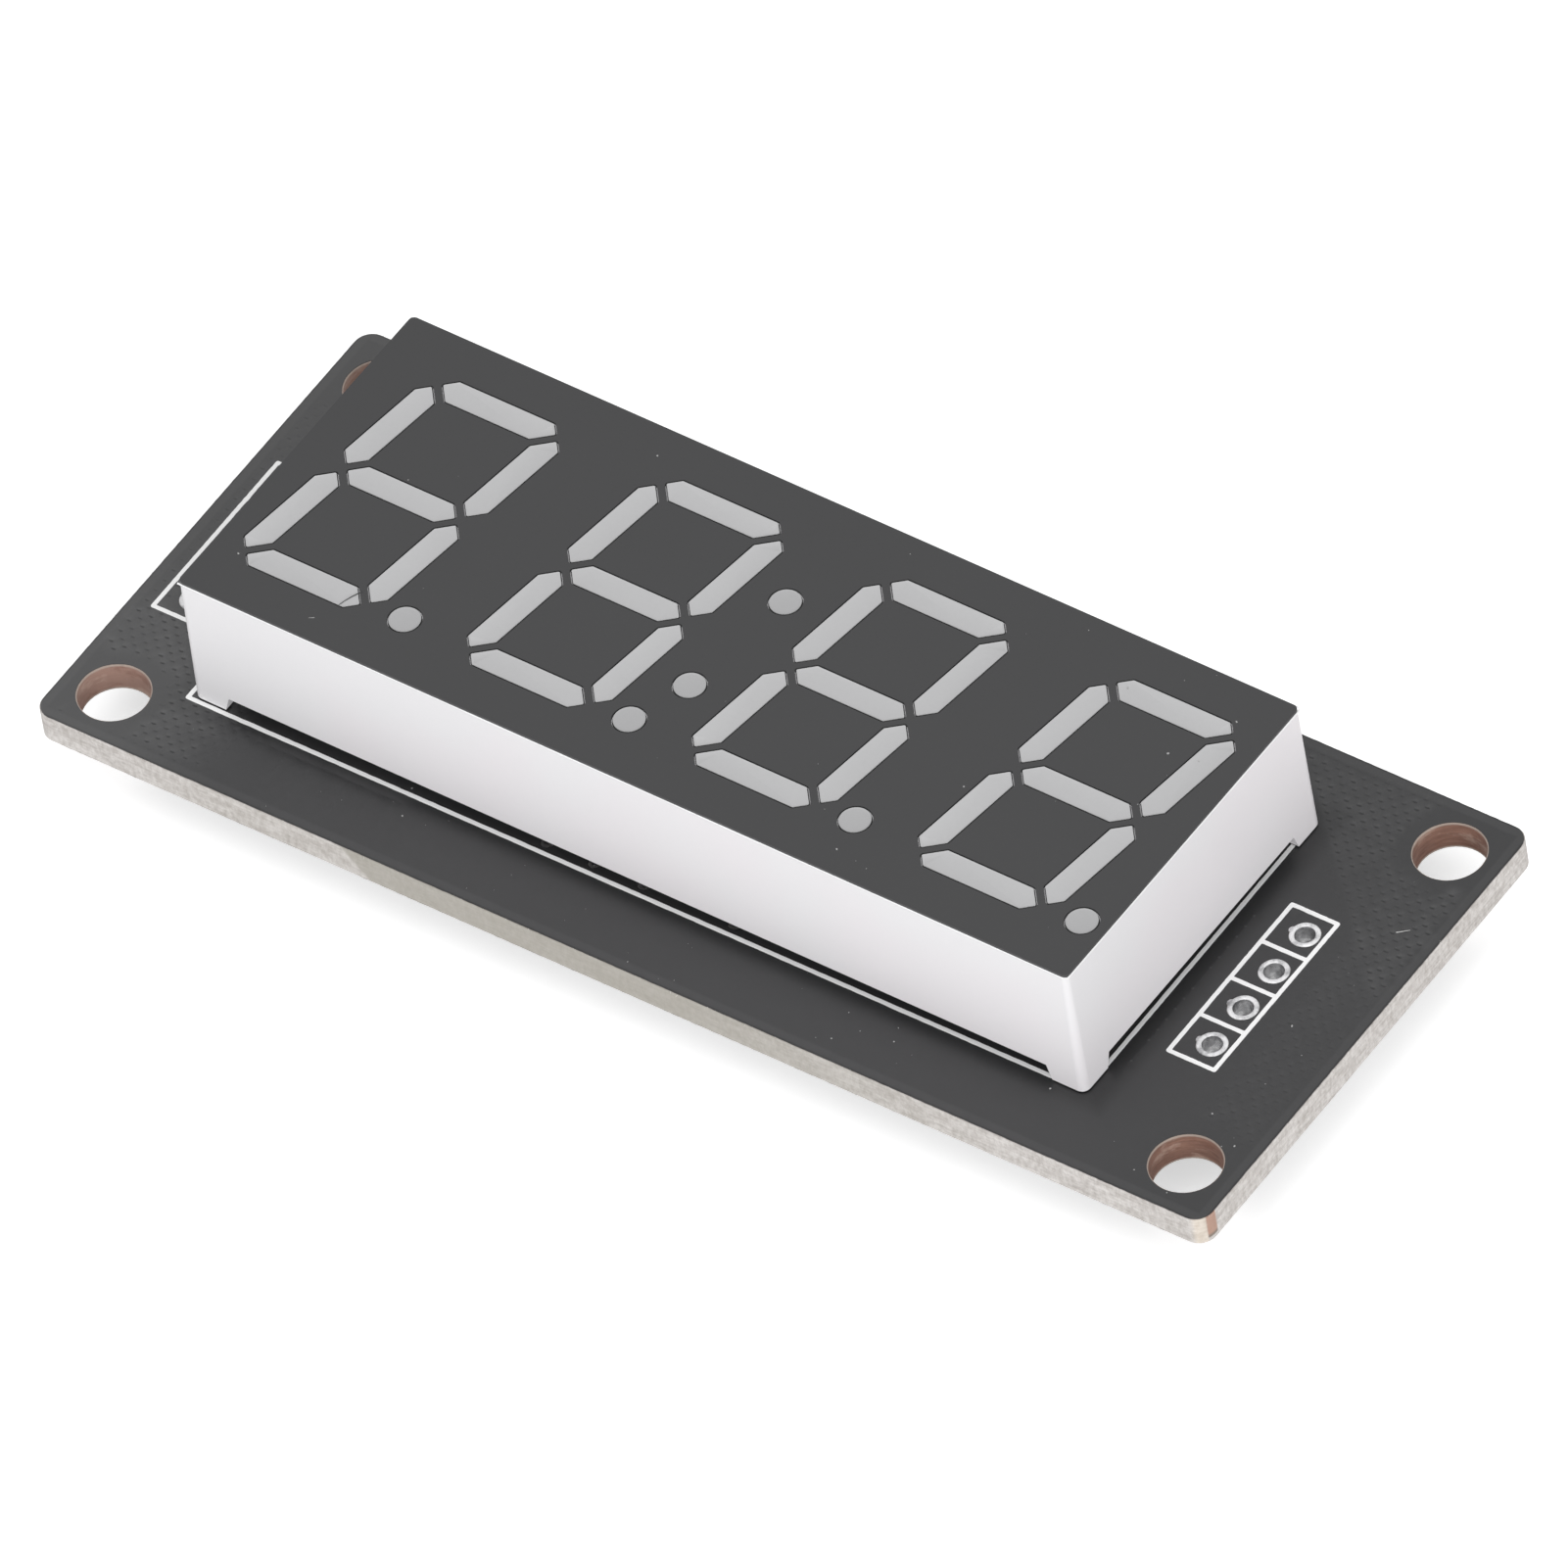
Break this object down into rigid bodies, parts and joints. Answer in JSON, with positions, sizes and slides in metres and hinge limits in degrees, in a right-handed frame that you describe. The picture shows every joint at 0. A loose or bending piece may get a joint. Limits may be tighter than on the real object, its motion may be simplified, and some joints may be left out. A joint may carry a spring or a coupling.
{
  "type": "seven segment display module",
  "caption": "LED clock display with slanted digits, decimal points and a colon, on a dark driver board with corner mounting holes and header holes at both ends.",
  "frame": {"origin": "under the middle of the board, on the surface that the driver chip's case rests on", "axes": "+X along the digits in reading order, +Y towards the digits' tops, +Z out of the viewing face"},
  "size_m": [0.0658, 0.0272, 0.012],
  "materials": {
    "black_laminate": "satin dark solder mask over woven glass laminate",
    "tinned_land": "bright hot-dipped tin over copper",
    "tinned_lead": "dull tin plate",
    "solder": "bright solder with a hollow fillet",
    "white_case": "smooth white moulded plastic",
    "dark_film": "matt dark grey printed film",
    "pale_resin": "frosted pale grey resin",
    "back_resin": "smooth poured resin",
    "carrier_laminate": "bare paper laminate",
    "led_crystal": "sawn crystal",
    "black_epoxy": "matt moulded epoxy",
    "bare_copper": "bare copper alloy",
    "silicon": "polished",
    "tan_ceramic": "fired ceramic",
    "white_alumina": "fired alumina",
    "dark_glaze": "glassy overglaze"
  },
  "bodies": {
    "root": {"printed_circuit_board": "black_laminate", "header_lands_right": "tinned_land", "header_lands_left": "tinned_land", "pin_lands": "tinned_land", "via_barrels": "tinned_land", "surface_lands": "tinned_land", "display_housing": "white_case", "face_film": "dark_film", "segment_guides": "pale_resin", "dot_guides": "pale_resin", "resin_backfill": "back_resin", "led_carrier": "carrier_laminate", "led_dies": "led_crystal", "display_pins": "tinned_lead", "pin_solder": "solder", "driver_case": "black_epoxy", "driver_leads": "tinned_lead", "driver_paddle": "bare_copper", "driver_die": "silicon", "driver_solder": "solder", "capacitor_bodies": "tan_ceramic", "capacitor_ends": "tinned_lead", "resistor_bodies": "white_alumina", "resistor_glaze": "dark_glaze", "resistor_ends": "tinned_lead", "passive_solder": "solder"}
  },
  "joints": []
}
